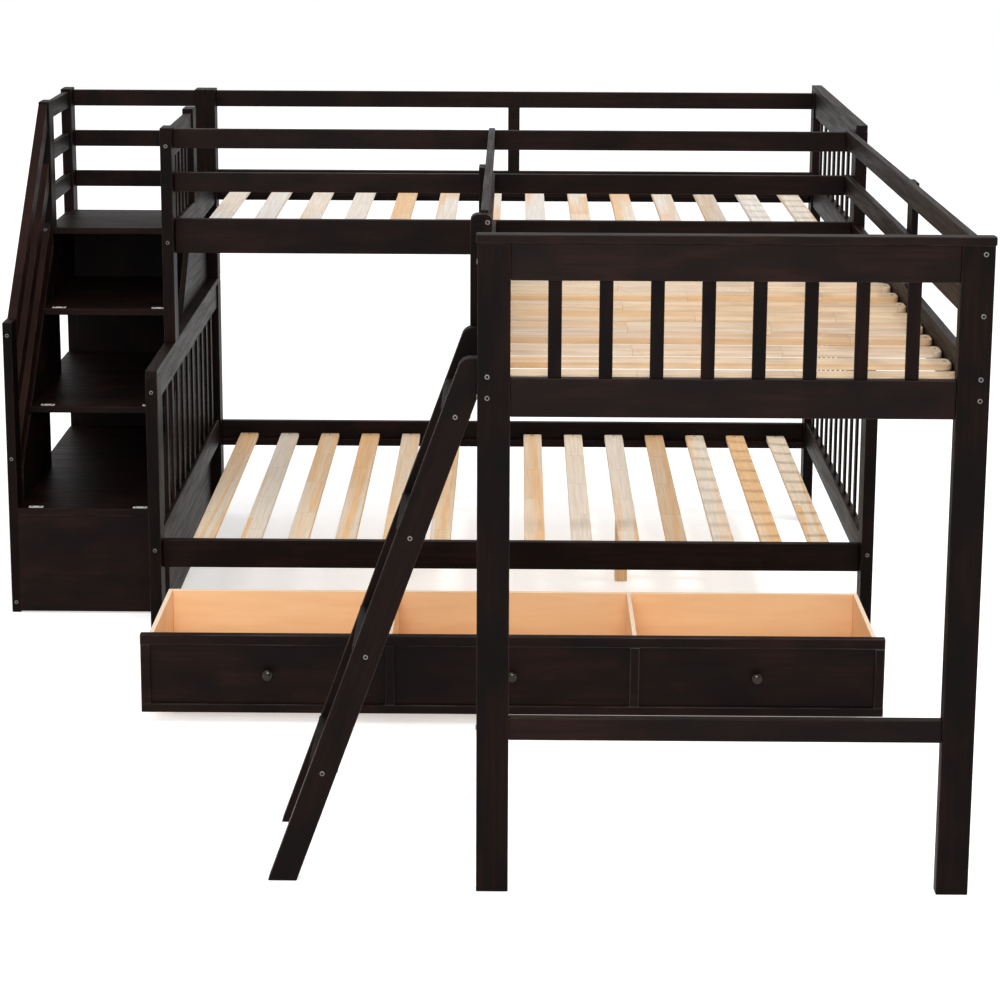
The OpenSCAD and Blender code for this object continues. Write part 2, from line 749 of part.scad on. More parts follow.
// Wheel with a stepped hub, bored for the axle
module wheel() rotate([0, 90, 0])
    difference() {
        union() {
            translate([0, 0, -wheel_w / 2]) cylinder(r = wheel_r, h = wheel_w);
            translate([0, 0, -wheel_w / 2 - 1]) cylinder(r = axle_r + 3, h = wheel_w + 2);
        }
        translate([0, 0, -wheel_w]) cylinder(r = axle_r + wheel_clear, h = 2 * wheel_w);
    }

module caster_forks() color(steel) in_drawer() {
    caster_row(row_front) fork();
    caster_row(row_rear) fork();
}
module front_wheels() color(nylon) in_drawer() caster_row(row_front)
    translate([0, 0, wheel_r]) wheel();
module rear_wheels() color(nylon) in_drawer() caster_row(row_rear)
    translate([0, 0, wheel_r]) wheel();

lower_left_posts();
lower_left_cap();
lower_left_rails();
lower_left_spindles();
lower_right_posts();
lower_right_cap();
lower_right_rails();
lower_right_spindles();
lower_side_rails();
lower_ledgers();
lower_slats();
lower_middle_legs();
upper_left_posts();
upper_entry_post();
upper_left_rails();
upper_left_spindles();
upper_right_posts();
upper_right_cap();
upper_right_rails();
upper_right_spindles();
upper_side_rails();
upper_front_guards();
upper_back_guard();
upper_ledgers();
upper_slats();
loft_posts();
loft_cap();
loft_end_rails();
loft_spindles();
loft_stretcher();
loft_side_rails();
loft_ledgers();
loft_slats();
loft_guard_rails();
loft_guard_posts();
loft_gate_post();
ladder_rails();
ladder_steps();
stair_newel();
stair_tall_post();
stair_back_posts();
stair_handrails();
stair_stringer();
stair_left_panels();
stair_right_panel();
stair_front_panel();
stair_back_panel();
stair_treads();
stair_landing();
landing_guards();
drawer_face();
drawer_front();
drawer_sides();
drawer_back();
drawer_bottom();
drawer_dividers();
drawer_knobs();
caster_forks();
front_wheels();
rear_wheels();
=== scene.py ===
# %% [markdown]
# # An L shaped bunk bed, dressed in Blender
#
# The real bed is flat-pack furniture: more than a hundred solid boards in a dark espresso
# stain, bare pine slats, and a wide drawer of birch plywood. Its shape, its sizes and the way
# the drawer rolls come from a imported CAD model, which this lesson loads as a fixed frame.
# What is left for Blender is what the eye reads: stain that thins on the edges, grain that
# follows each board, slats glued from short lengths, bolts and screws, and light.

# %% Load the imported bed
import json
import math
import bpy
import bmesh
from mathutils import Matrix, Vector

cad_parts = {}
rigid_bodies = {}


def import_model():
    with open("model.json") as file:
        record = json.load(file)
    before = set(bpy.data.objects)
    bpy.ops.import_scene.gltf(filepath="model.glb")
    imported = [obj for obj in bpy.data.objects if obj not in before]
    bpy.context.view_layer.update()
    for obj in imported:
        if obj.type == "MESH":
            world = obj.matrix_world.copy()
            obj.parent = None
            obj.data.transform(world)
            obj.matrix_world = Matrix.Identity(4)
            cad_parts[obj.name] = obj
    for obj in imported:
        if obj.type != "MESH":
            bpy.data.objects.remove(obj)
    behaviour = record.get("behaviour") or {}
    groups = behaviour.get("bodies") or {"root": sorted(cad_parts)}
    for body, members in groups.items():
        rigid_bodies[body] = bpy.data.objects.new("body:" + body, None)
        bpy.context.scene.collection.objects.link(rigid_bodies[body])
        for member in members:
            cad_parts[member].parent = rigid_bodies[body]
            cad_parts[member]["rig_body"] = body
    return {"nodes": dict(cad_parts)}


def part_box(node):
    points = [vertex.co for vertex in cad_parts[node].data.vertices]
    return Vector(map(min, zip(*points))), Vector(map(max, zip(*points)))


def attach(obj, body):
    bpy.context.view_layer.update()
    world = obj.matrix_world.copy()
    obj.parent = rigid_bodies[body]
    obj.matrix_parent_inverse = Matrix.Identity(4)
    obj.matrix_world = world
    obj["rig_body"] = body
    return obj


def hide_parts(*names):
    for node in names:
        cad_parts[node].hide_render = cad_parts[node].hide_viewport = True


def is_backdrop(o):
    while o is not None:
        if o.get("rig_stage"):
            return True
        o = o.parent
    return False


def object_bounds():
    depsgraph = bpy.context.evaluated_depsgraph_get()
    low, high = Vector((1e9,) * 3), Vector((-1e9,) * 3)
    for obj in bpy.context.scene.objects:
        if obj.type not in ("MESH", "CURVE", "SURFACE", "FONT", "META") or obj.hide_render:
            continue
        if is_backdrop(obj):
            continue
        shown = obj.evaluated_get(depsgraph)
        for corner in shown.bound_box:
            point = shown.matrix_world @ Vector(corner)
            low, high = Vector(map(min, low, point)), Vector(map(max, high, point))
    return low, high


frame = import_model()
nodes = frame["nodes"]
cad_box = [list(corner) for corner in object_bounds()]
print("the bed's box in metres:", [[round(v, 3) for v in corner] for corner in cad_box])

# %% [markdown]
# ## Small helpers for node trees
#
# A material is a graph. Building one by hand in Python takes three steps again and again:
# add a node, set its values, join its sockets. Two helpers do just that, three more make the
# sums and mixes that come up most, and a last one starts a group. With them, the cells below
# read like a list of what a finish is made of.

# %% Add a node and set its sockets


def add(tree, kind, **settings):
    """Adds a node to a tree. Names of properties are set as they are."""
    node = tree.nodes.new(kind)
    for name, value in settings.items():
        setattr(node, name, value)
    return node


def feed(tree, node, **inputs):
    """Sets or joins a node's inputs; in0, in1 and so on name them by place."""
    for name, value in inputs.items():
        if name[:2] == "in" and name[2:].isdigit():
            socket = node.inputs[int(name[2:])]
        else:
            socket = node.inputs[name.replace("_", " ")]
        if isinstance(value, bpy.types.NodeSocket):
            tree.links.new(value, socket)
        else:
            socket.default_value = value
    return node


# %% Sums and mixes in one line


def maths(tree, operation, *values):
    """A Math node, given back as its output."""
    node = add(tree, "ShaderNodeMath", operation=operation)
    feed(tree, node, **{f"in{i}": value for i, value in enumerate(values)})
    return node.outputs[0]


def blend_colour(tree, share, first, second):
    """A colour Mix node, given back as its output."""
    node = add(tree, "ShaderNodeMix", data_type="RGBA")
    feed(tree, node, in0=share, in6=first, in7=second)
    return node.outputs[2]


def spread(tree, value, low, high, new_low=0.0, new_high=1.0):
    """A smooth step from new_low at low to new_high at high, given back as its output."""
    node = add(tree, "ShaderNodeMapRange", interpolation_type="SMOOTHSTEP")
    feed(tree, node, Value=value, From_Min=low, From_Max=high,
         To_Min=new_low, To_Max=new_high)
    return node.outputs[0]


# %% Start a group


def new_group(name, inputs, outputs):
    """An empty shader node group with named sockets, and its two end nodes."""
    tree = bpy.data.node_groups.new(name, "ShaderNodeTree")
    for title, kind, value in inputs:
        socket = tree.interface.new_socket(
            name=title, in_out="INPUT", socket_type="NodeSocket" + kind)
        if value is not None:
            socket.default_value = value
    for title, kind in outputs:
        tree.interface.new_socket(
            name=title, in_out="OUTPUT", socket_type="NodeSocket" + kind)
    return tree, add(tree, "NodeGroupInput"), add(tree, "NodeGroupOutput")


# %% [markdown]
# ## Grain that every board shares
#
# Wood is a bundle of long fibres. Noise that is drawn out along the fibres gives the streaks,
# finer noise gives the pores, and slow noise gives the clouds that a dark stain leaves where
# the wood soaks it up. The group always has its fibres along X. Each material turns its own
# Object coordinates first, so that one group serves boards that lie, stand or lean.

# %% The grain group
grain, grain_in, grain_out = new_group(
    "Board Grain",
    [("Coordinates", "Vector", None), ("Streak Size", "Float", 0.012),
     ("Stretch", "Float", 14.0), ("Pore Size", "Float", 0.0016)],
    [("Streaks", "Float"), ("Pores", "Float"), ("Clouds", "Float")])


def drawn_noise(tree, coordinates, size, stretch, detail):
    """Noise that is longer along X by stretch, with features of about one size."""
    long = maths(tree, "MULTIPLY", size, stretch)
    sizes = add(tree, "ShaderNodeCombineXYZ")
    feed(tree, sizes, X=long, Y=size, Z=size)
    cells = add(tree, "ShaderNodeVectorMath", operation="DIVIDE")
    feed(tree, cells, in0=coordinates, in1=sizes.outputs[0])
    noise = add(tree, "ShaderNodeTexNoise", noise_dimensions="3D")
    feed(tree, noise, Vector=cells.outputs[0], Scale=1.0, Detail=detail,
         Roughness=0.55, Distortion=0.2)
    return noise.outputs["Fac"]


PORE_STRETCH = 22.0
CLOUD_STRETCH = 2.4
CLOUD_TO_STREAK = 9.0
place = grain_in.outputs["Coordinates"]
streak_size = grain_in.outputs["Streak Size"]
streaks = drawn_noise(grain, place, streak_size, grain_in.outputs["Stretch"], detail=4.0)
pores = drawn_noise(grain, place, grain_in.outputs["Pore Size"], PORE_STRETCH, detail=2.0)
cloud_size = maths(grain, "MULTIPLY", streak_size, CLOUD_TO_STREAK)
clouds = drawn_noise(grain, place, cloud_size, CLOUD_STRETCH, detail=2.0)
feed(grain, grain_out, Streaks=spread(grain, streaks, low=0.32, high=0.68),
     Pores=spread(grain, pores, low=0.56, high=0.72),
     Clouds=spread(grain, clouds, low=0.36, high=0.66))
print("grain group:", len(grain.nodes), "nodes")

# %% [markdown]
# ## Edges where the stain is thin, and painted highlights on them
#
# Stain is wiped on, and it comes off again on every sharp edge, so the edges of the real
# boards show a warmer brown, made paler still as a painted highlight. A Bevel node gives the
# normal that a rounded edge would have. Where it differs from the true normal, there is an
# edge. A little noise breaks the line up.

# %% The edge group
# The mask marks edges for the rubbed stain and for the painted highlight laid over it.
edge, edge_in, edge_out = new_group(
    "Edge Rub And Highlight",
    [("Coordinates", "Vector", None), ("Width", "Float", 0.003),
     ("Patch Size", "Float", 0.05)],
    [("Rub", "Float")])
BARELY_TURNED = 0.995
WELL_TURNED = 0.80
rounded = add(edge, "ShaderNodeBevel", samples=4)
feed(edge, rounded, Radius=edge_in.outputs["Width"])
flat = add(edge, "ShaderNodeNewGeometry")
turn = add(edge, "ShaderNodeVectorMath", operation="DOT_PRODUCT")
feed(edge, turn, in0=rounded.outputs[0], in1=flat.outputs["True Normal"])
found = spread(edge, turn.outputs["Value"], BARELY_TURNED, WELL_TURNED)
patches = drawn_noise(edge, edge_in.outputs["Coordinates"],
                      edge_in.outputs["Patch Size"], stretch=1.0, detail=3.0)
patchy = spread(edge, patches, low=0.3, high=0.7)
feed(edge, edge_out, Rub=maths(edge, "MULTIPLY", found, patchy))
print("edge group:", len(edge.nodes), "nodes")

# %% [markdown]
# ## Which way the fibres run
#
# A board's fibres run along its length. Three materials turn the coordinates so that the
# group's X lies along the bed's X, Y or Z, and two more lean with the ladder and the
# stairs' slanted boards. A small offset keeps two materials from showing the same streaks.

# %% Turning the coordinates
LADDER_LEAN = math.radians(19.87)
STAIR_SLOPE = math.radians(45)
QUARTER_TURN = math.pi / 2
FIBRES = {
    "x": (0.0, 0.0, 0.0),
    "y": (0.0, 0.0, -QUARTER_TURN),
    "z": (0.0, QUARTER_TURN, 0.0),
    "ladder": (0.0, QUARTER_TURN - LADDER_LEAN, 0.0),
    "slant": (-STAIR_SLOPE, 0.0, -QUARTER_TURN),
}
print("ways that fibres run:", sorted(FIBRES))


def fibre_place(tree, way, shift=0.0):
    """Object coordinates, turned so that X runs along the fibres, and shifted."""
    source = add(tree, "ShaderNodeTexCoord")
    turned = add(tree, "ShaderNodeMapping", vector_type="POINT")
    feed(tree, turned, Vector=source.outputs["Object"],
         Location=(shift, shift * 0.7, shift * 1.3), Rotation=FIBRES[way])
    return turned.outputs[0]


# %% Start a material


def put_group(tree, group, **inputs):
    """A group placed in a material's tree, with its inputs set."""
    node = add(tree, "ShaderNodeGroup", node_tree=group)
    return feed(tree, node, **inputs)


def blank_material(name):
    """A material with one Principled BSDF and an output."""
    made = bpy.data.materials.new(name)
    made.use_nodes = True
    return made, made.node_tree, made.node_tree.nodes["Principled BSDF"]


def raise_surface(tree, height, strength, depth):
    """A Bump node fed by a height, given back as its output."""
    bump = add(tree, "ShaderNodeBump")
    feed(tree, bump, Height=height, Strength=strength, Distance=depth)
    return bump.outputs[0]


# %% [markdown]
# ## The espresso stain
#
# From a step away the stain is nearly black. Close up it is a very dark brown with redder
# streaks, and a satin lacquer lies over it. The lacquer is what shows the shape of a dark
# board, so its roughness varies with the grain, and the pores sink a little below it. The
# thin strips on the drawer's front show pale lines along their edges in the photograph, so
# they get a stain of their own whose edges carry a wider, pale grey painted highlight.

# %% Espresso stained boards
STAIN_DEEP = (0.0028, 0.0019, 0.0017, 1)
STAIN_WARM = (0.0200, 0.0070, 0.0048, 1)
STAIN_PORE = (0.004, 0.003, 0.003, 1)
# The edge colour is rubbed-through stain made paler, so it is partly a painted highlight; the
# strips' edge colour is a pale grey painted highlight.
STAIN_RUBBED_AND_HIGHLIGHT = (0.110, 0.062, 0.047, 1)
STRIP_PAINTED_HIGHLIGHT = (0.17, 0.15, 0.14, 1)
PORES_SHOW = 0.6
PORES_DULL = 0.15
RUB_AND_HIGHLIGHT_SHOWS = 0.75
LACQUER_ROUGH = (0.42, 0.52)
STREAK_HEIGHT = 0.3


def espresso(name, way, shift, warmth, more_warmth, satin, edge_width=0.0028,
             edge_patch=0.06, edge_colour=STAIN_RUBBED_AND_HIGHLIGHT):
    """Espresso stained wood; warmth is its least share of warm stain, streaks add more."""
    made, tree, shader = blank_material(f"espresso_{name}")
    where = fibre_place(tree, way, shift)
    wood = put_group(tree, grain, Coordinates=where, Streak_Size=0.010, Stretch=22.0,
                     Pore_Size=0.0015)
    streaks = wood.outputs["Streaks"]
    pores = wood.outputs["Pores"]
    rub_and_highlight = put_group(tree, edge, Coordinates=where, Width=edge_width, Patch_Size=edge_patch)
    soaked = spread(tree, streaks, 0.0, 1.0, new_low=0.35)
    soaked = maths(tree, "MULTIPLY", soaked, wood.outputs["Clouds"])
    share = maths(tree, "ADD", maths(tree, "MULTIPLY", soaked, more_warmth), warmth)
    colour = blend_colour(tree, share, STAIN_DEEP, STAIN_WARM)
    dark = maths(tree, "MULTIPLY", pores, PORES_SHOW)
    colour = blend_colour(tree, dark, colour, STAIN_PORE)
    # Edges take the edge colour: worn stain that is also a painted highlight.
    worn = maths(tree, "MULTIPLY", rub_and_highlight.outputs["Rub"], RUB_AND_HIGHLIGHT_SHOWS)
    colour = blend_colour(tree, worn, colour, edge_colour)
    gloss = spread(tree, streaks, 0.0, 1.0, *LACQUER_ROUGH)
    gloss = maths(tree, "ADD", gloss, maths(tree, "MULTIPLY", pores, PORES_DULL))
    relief = maths(tree, "SUBTRACT", maths(tree, "MULTIPLY", streaks, STREAK_HEIGHT), pores)
    feed(tree, shader, Base_Color=colour, Roughness=gloss,
         Normal=raise_surface(tree, relief, strength=0.35, depth=0.0004))
    shader.inputs["Specular IOR Level"].default_value = satin
    return made


# %% A stain for each way that fibres run
# Posts and ladder are nearly black in the photograph, the boards between them are browner.
WARMTH = {"x": 0.10, "y": 0.08, "z": 0.0, "ladder": 0.02, "slant": 0.50}
MORE_WARMTH = {"x": 0.55, "y": 0.55, "z": 0.32, "ladder": 0.36, "slant": 0.55}
SATIN = {"x": 0.06, "y": 0.06, "z": 0.042, "ladder": 0.05, "slant": 0.06}
SHIFT_STEP = 0.37
stains = {way: espresso(way, way, SHIFT_STEP * i, WARMTH[way], MORE_WARMTH[way], SATIN[way])
          for i, way in enumerate(FIBRES)}
# The drawer strips' edges carry a wider, pale grey painted highlight.
strip_stain_and_highlight = espresso("strips", "x", 0.0, WARMTH["x"], MORE_WARMTH["x"], SATIN["x"],
                       edge_width=0.0045, edge_patch=0.25, edge_colour=STRIP_PAINTED_HIGHLIGHT)
print("stains:", sorted(m.name for m in (*stains.values(), strip_stain_and_highlight)))

# %% [markdown]
# ## Pine, glued from short lengths
#
# Cheap slats are finger jointed: short offcuts are glued end to end, so the tone jumps every
# hand's breadth or two and a fine zigzag shows at each joint. One group makes both. It takes
# a number that differs from slat to slat, which moves the joints and picks the tones. Each
# bed has tones of its own, set against the photograph, and they carry painted light: the
# lower bed's are paler to make up for the shade of the bed above, the loft's darker for the
# stronger light on it.

# %% The finger joint group
SLAT_JUMP = 7.31
OFFCUT_JUMP = (3.0, 0.8, 0.8)
GLUE_FADES_TO = 0.0009
GLUE_FULL_AT = 0.0003
joint, joint_in, joint_out = new_group(
    "Finger Joints",
    [("Coordinates", "Vector", None), ("Slat", "Float", 0.0),
     ("Offcut Length", "Float", 0.34), ("Finger Width", "Float", 0.008),
     ("Finger Length", "Float", 0.010)],
    [("Tone", "Float"), ("Glue Line", "Float"), ("Moved", "Vector")])
parts = add(joint, "ShaderNodeSeparateXYZ")
feed(joint, parts, Vector=joint_in.outputs["Coordinates"])
across = maths(joint, "DIVIDE", parts.outputs["Y"], joint_in.outputs["Finger Width"])
zigzag = maths(joint, "PINGPONG", across, 0.5)
finger = maths(joint, "MULTIPLY", zigzag, joint_in.outputs["Finger Length"])
start = maths(joint, "MULTIPLY", joint_in.outputs["Slat"], SLAT_JUMP)
along = maths(joint, "ADD", maths(joint, "ADD", parts.outputs["X"], finger), start)
count = maths(joint, "DIVIDE", along, joint_in.outputs["Offcut Length"])
offcut = maths(joint, "FLOOR", count)
pick = add(joint, "ShaderNodeTexWhiteNoise", noise_dimensions="2D")
pick_at = add(joint, "ShaderNodeCombineXYZ")
feed(joint, pick_at, X=offcut, Y=joint_in.outputs["Slat"])
feed(joint, pick, Vector=pick_at.outputs[0])
distance = maths(joint, "MULTIPLY", maths(joint, "PINGPONG", count, 0.5),
                 joint_in.outputs["Offcut Length"])
moved = add(joint, "ShaderNodeVectorMath", operation="MULTIPLY_ADD")
feed(joint, moved, in0=pick.outputs["Color"], in1=OFFCUT_JUMP,
     in2=joint_in.outputs["Coordinates"])
feed(joint, joint_out, Tone=pick.outputs["Value"],
     Glue_Line=spread(joint, distance, GLUE_FADES_TO, GLUE_FULL_AT),
     Moved=moved.outputs[0])
print("finger joint group:", len(joint.nodes), "nodes")

# %% Bare pine
PINE_LINE = (0.48, 0.30, 0.16, 1)
GLUE_LINE = (0.30, 0.17, 0.09, 1)
# Each bed's tones hold painted light: the lower bed's are lightened for the shade it lies in,
# the loft's darkened for the stronger light on it.
PINE_TONES_WITH_PAINTED_LIGHT = {
    "lower": ((0.93, 0.78, 0.60, 1), (0.94, 0.58, 0.28, 1), (0.88, 0.79, 0.67, 1)),
    "upper": ((0.82, 0.73, 0.62, 1), (0.80, 0.51, 0.27, 1), (0.79, 0.76, 0.72, 1)),
    "loft": ((0.72, 0.57, 0.40, 1), (0.67, 0.40, 0.20, 1), (0.67, 0.57, 0.46, 1)),
}
PINE_STREAKS = {"lower": 0.28, "upper": 0.36, "loft": 0.58}
OFFCUT_SHARE = {"lower": 0.14, "upper": 0.26, "loft": 0.30}
WARM_FROM, WARM_TO = 0.50, 0.66
GREY_FROM, GREY_TO = 0.42, 0.28
GLUE_SHOWS = 0.65
PLANED_ROUGH = (0.62, 0.74)


def pine(bed, way, jointed=True):
    """Planed pine; a slat's own number comes from the attribute slat_number."""
    made, tree, shader = blank_material(f"pine_{bed}_{way}")
    pale, warm, grey = PINE_TONES_WITH_PAINTED_LIGHT[bed]
    where = fibre_place(tree, way)
    number = add(tree, "ShaderNodeAttribute", attribute_name="slat_number").outputs["Fac"]
    offcuts = put_group(tree, joint, Coordinates=where, Slat=number)
    wood = put_group(tree, grain, Coordinates=offcuts.outputs["Moved"], Streak_Size=0.007,
                     Stretch=30.0, Pore_Size=0.0012)
    own = add(tree, "ShaderNodeTexWhiteNoise", noise_dimensions="1D")
    feed(tree, own, W=number)
    share = OFFCUT_SHARE[bed]
    tone = maths(tree, "ADD", maths(tree, "MULTIPLY", offcuts.outputs["Tone"], share),
                 maths(tree, "MULTIPLY", own.outputs["Value"], 1.0 - share))
    colour = blend_colour(tree, spread(tree, tone, WARM_FROM, WARM_TO), pale, warm)
    colour = blend_colour(tree, spread(tree, tone, GREY_FROM, GREY_TO), colour, grey)
    streak = maths(tree, "MULTIPLY", wood.outputs["Streaks"], PINE_STREAKS[bed])
    colour = blend_colour(tree, streak, colour, PINE_LINE)
    if jointed:
        line = maths(tree, "MULTIPLY", offcuts.outputs["Glue Line"], GLUE_SHOWS)
        colour = blend_colour(tree, line, colour, GLUE_LINE)
    feed(tree, shader, Base_Color=colour,
         Roughness=spread(tree, wood.outputs["Streaks"], 0.0, 1.0, *PLANED_ROUGH),
         Normal=raise_surface(tree, wood.outputs["Streaks"], strength=0.25, depth=0.0004))
    shader.inputs["Specular IOR Level"].default_value = 0.3
    return made


slat_pine = {"lower": pine("lower", "y"), "upper": pine("upper", "y"),
             "loft": pine("loft", "x")}
# The legs take the lower bed's tones, with their painted light.
leg_pine = pine("lower", "z", jointed=False)
print("pine:", sorted(m.name for m in (*slat_pine.values(), leg_pine)))

# %% [markdown]
# ## Birch plywood for the drawer's box
#
# The drawer's box is clear lacquered plywood: broad, soft figure in warm orange on its
# faces, and pale raw layers on its edges. The edge is found from the normal, which points up
# on the box's walls and sideways on its bottom, and thin lines across the thickness draw
# the layers.

# %% Birch plywood
BIRCH_FACE = (0.89, 0.56, 0.30, 1)
BIRCH_DARK = (0.82, 0.46, 0.22, 1)
BIRCH_CLOUD = (0.88, 0.56, 0.30, 1)
BIRCH_EDGE = (0.92, 0.80, 0.66, 1)
BIRCH_LAYER = (0.70, 0.47, 0.28, 1)
BIRCH_ROUGH = (0.42, 0.75)
STREAKS_SHOW = 0.5
CLOUDS_SHOW = 0.35
LAYER_THICK = 0.0016
FACE_TURN, EDGE_TURN = 0.3, 0.6


def birch(name, way, layers):
    """Lacquered plywood whose layers lie one over another along the axis layers."""
    made, tree, shader = blank_material(name)
    where = fibre_place(tree, way)
    wood = put_group(tree, grain, Coordinates=where, Streak_Size=0.022, Stretch=7.0,
                     Pore_Size=0.0016)
    streak = maths(tree, "MULTIPLY", wood.outputs["Streaks"], STREAKS_SHOW)
    figure = blend_colour(tree, streak, BIRCH_FACE, BIRCH_DARK)
    cloud = maths(tree, "MULTIPLY", wood.outputs["Clouds"], CLOUDS_SHOW)
    figure = blend_colour(tree, cloud, figure, BIRCH_CLOUD)
    source = add(tree, "ShaderNodeTexCoord")
    axes = add(tree, "ShaderNodeSeparateXYZ")
    feed(tree, axes, Vector=source.outputs["Object"])
    layer = maths(tree, "PINGPONG", axes.outputs[layers], LAYER_THICK)
    line = spread(tree, layer, LAYER_THICK * 0.25, LAYER_THICK * 0.75)
    raw = blend_colour(tree, line, BIRCH_EDGE, BIRCH_LAYER)
    normal = add(tree, "ShaderNodeSeparateXYZ")
    shape = add(tree, "ShaderNodeNewGeometry")
    feed(tree, normal, Vector=shape.outputs["True Normal"])
    if layers == "Z":
        upright = maths(tree, "ABSOLUTE", normal.outputs["Z"])
        on_edge = spread(tree, upright, EDGE_TURN, FACE_TURN)
    else:
        on_edge = spread(tree, normal.outputs["Z"], FACE_TURN, EDGE_TURN)
    feed(tree, shader, Base_Color=blend_colour(tree, on_edge, figure, raw),
         Roughness=spread(tree, on_edge, 0.0, 1.0, *BIRCH_ROUGH),
         Normal=raise_surface(tree, wood.outputs["Streaks"], strength=0.12, depth=0.0003))
    return made


birch_sides = birch("birch_sides", "y", "X")
birch_back = birch("birch_back", "x", "Y")
birch_bottom = birch("birch_bottom", "x", "Z")
print("birch:", birch_sides.name, birch_back.name, birch_bottom.name)

# %% [markdown]
# ## Metal and nylon
#
# Bolts are dulled zinc, the plates on the treads are pale zinc, made half-matte so that their
# paleness is a painted glint, knobs are polished dark bronze, forks are rolled steel, and the
# wheels are moulded nylon. Broad noise varies colour and roughness, and fine noise the relief,
# so that none of them looks like plain plastic; on the wheels the second colour is the light
# dust that any wheel picks up.

# %% Metal and nylon
BROAD = 0.03


def metal(name, colour, worn, rough, dulled=0.18, metallic=1.0, grit=0.0025):
    """Metal whose colour and shine vary with broad noise; grit is the fine relief's size."""
    made, tree, shader = blank_material(name)
    place = add(tree, "ShaderNodeTexCoord").outputs["Object"]
    broad = drawn_noise(tree, place, BROAD, stretch=1.0, detail=4.0)
    fine = drawn_noise(tree, place, grit, stretch=3.0, detail=2.0)
    share = spread(tree, broad, low=0.4, high=0.7)
    feed(tree, shader, Base_Color=blend_colour(tree, share, colour, worn),
         Roughness=spread(tree, broad, 0.2, 0.8, rough, rough + dulled),
         Normal=raise_surface(tree, fine, strength=0.15, depth=0.0002))
    shader.inputs["Metallic"].default_value = metallic
    return made


bright_zinc = metal("bright_zinc", (0.17, 0.165, 0.16, 1), (0.09, 0.086, 0.082, 1), rough=0.30)
# The plates' pale, half-metallic colour is a painted glint that stands in for their
# reflection.
pale_plate = metal("pale_plate", (0.74, 0.73, 0.70, 1), (0.62, 0.61, 0.58, 1), rough=0.50,
                   metallic=0.35)
dark_bronze = metal("dark_bronze", (0.034, 0.028, 0.024, 1), (0.046, 0.038, 0.032, 1),
                    rough=0.09, dulled=0.06)
rolled_steel = metal("rolled_steel", (0.55, 0.55, 0.54, 1), (0.42, 0.42, 0.42, 1), rough=0.34)
wheel_nylon = metal("wheel_nylon", (0.022, 0.022, 0.024, 1), (0.060, 0.057, 0.052, 1),
                    rough=0.45, metallic=0.0, grit=0.0012)
hard_looks = (bright_zinc, pale_plate, dark_bronze, rolled_steel, wheel_nylon)
print("metals and nylon:", [m.name for m in hard_looks])

# %% [markdown]
# ## Which finish goes where
#
# Every CAD node gets its finish here. The lists follow the way each board lies: posts and
# spindles stand, the bunk's rails run along X, the loft's along Y. Only the slats will be
# replaced further down; all other boards stay as the frame brings them.

# %% Give each node its finish
LOOKS = {
    "x": "lower_side_rails lower_ledgers upper_side_rails upper_ledgers upper_front_guards "
         "upper_back_guard loft_cap loft_end_rails loft_stretcher stair_front_panel "
         "stair_treads stair_landing drawer_front",
    "y": "lower_left_cap lower_left_rails lower_right_cap lower_right_rails "
         "upper_left_rails upper_right_cap upper_right_rails loft_side_rails loft_ledgers "
         "loft_guard_rails ladder_steps stair_left_panels stair_right_panel landing_guards",
    "z": "lower_left_posts lower_left_spindles lower_right_posts lower_right_spindles "
         "upper_left_posts upper_entry_post upper_left_spindles "
         "upper_right_posts upper_right_spindles loft_posts loft_spindles loft_guard_posts "
         "loft_gate_post stair_newel stair_tall_post stair_back_posts stair_back_panel",
    "ladder": "ladder_rails",
    "slant": "stair_handrails stair_stringer",
}
finishes = {name: stains[way] for way, names in LOOKS.items() for name in names.split()}
finishes.update(
    drawer_face=strip_stain_and_highlight, lower_middle_legs=leg_pine, lower_slats=slat_pine["lower"],
    upper_slats=slat_pine["upper"], loft_slats=slat_pine["loft"],
    drawer_sides=birch_sides, drawer_dividers=birch_sides, drawer_back=birch_back,
    drawer_bottom=birch_bottom, drawer_knobs=dark_bronze, caster_forks=rolled_steel,
    front_wheels=wheel_nylon, rear_wheels=wheel_nylon)
for name, part in nodes.items():
    part.data.materials.clear()
    part.data.materials.append(finishes[name])
print(len(nodes), "nodes have a finish;", "none is left out:", set(nodes) == set(finishes))

# %% [markdown]
# ## Eased edges
#
# No board comes out of a factory with knife edges: a sander breaks each one, so that it
# catches a line of light, and a fine groove shows wherever two boards meet. The CAD boards
# are rounded along their length already, so only their ends are left to do. Their meshes are
# loose triangles. Modifiers weld the points, join the flat triangles, bevel the edges that
# are still square, and weld what the bevel brought together. Each piece's box stays as it is.

# %% Ease the boards
EASED = {"bed": 0.0018, "drawer": 0.0010}
LEFT_SHARP = ("drawer_knobs", "caster_forks", "lower_slats", "upper_slats", "loft_slats")
SQUARE_EDGE = math.radians(50)
FLAT = math.radians(0.5)
SAME_POINT = 0.00001
MET_POINT = 0.00002


def ease_edges(piece, width):
    """A Bevel modifier with two steps on every edge that is nearly square."""
    ease = piece.modifiers.new("eased edges", "BEVEL")
    ease.width = width
    ease.segments = 2
    ease.limit_method = "ANGLE"
    ease.angle_limit = SQUARE_EDGE


def weld_points(piece, title, within):
    """A Weld modifier, which merges points that lie closer than a distance."""
    weld = piece.modifiers.new(title, "WELD")
    weld.merge_threshold = within


for name, part in nodes.items():
    body = part["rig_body"]
    if body not in EASED or name in LEFT_SHARP:
        continue
    weld_points(part, "loose triangles", SAME_POINT)
    joined = part.modifiers.new("flat faces", "DECIMATE")
    joined.decimate_type = "DISSOLVE"
    joined.angle_limit = FLAT
    ease_edges(part, EASED[body])
    weld_points(part, "points that met", MET_POINT)
print("eased:", sum(1 for part in nodes.values() if part.modifiers), "nodes")

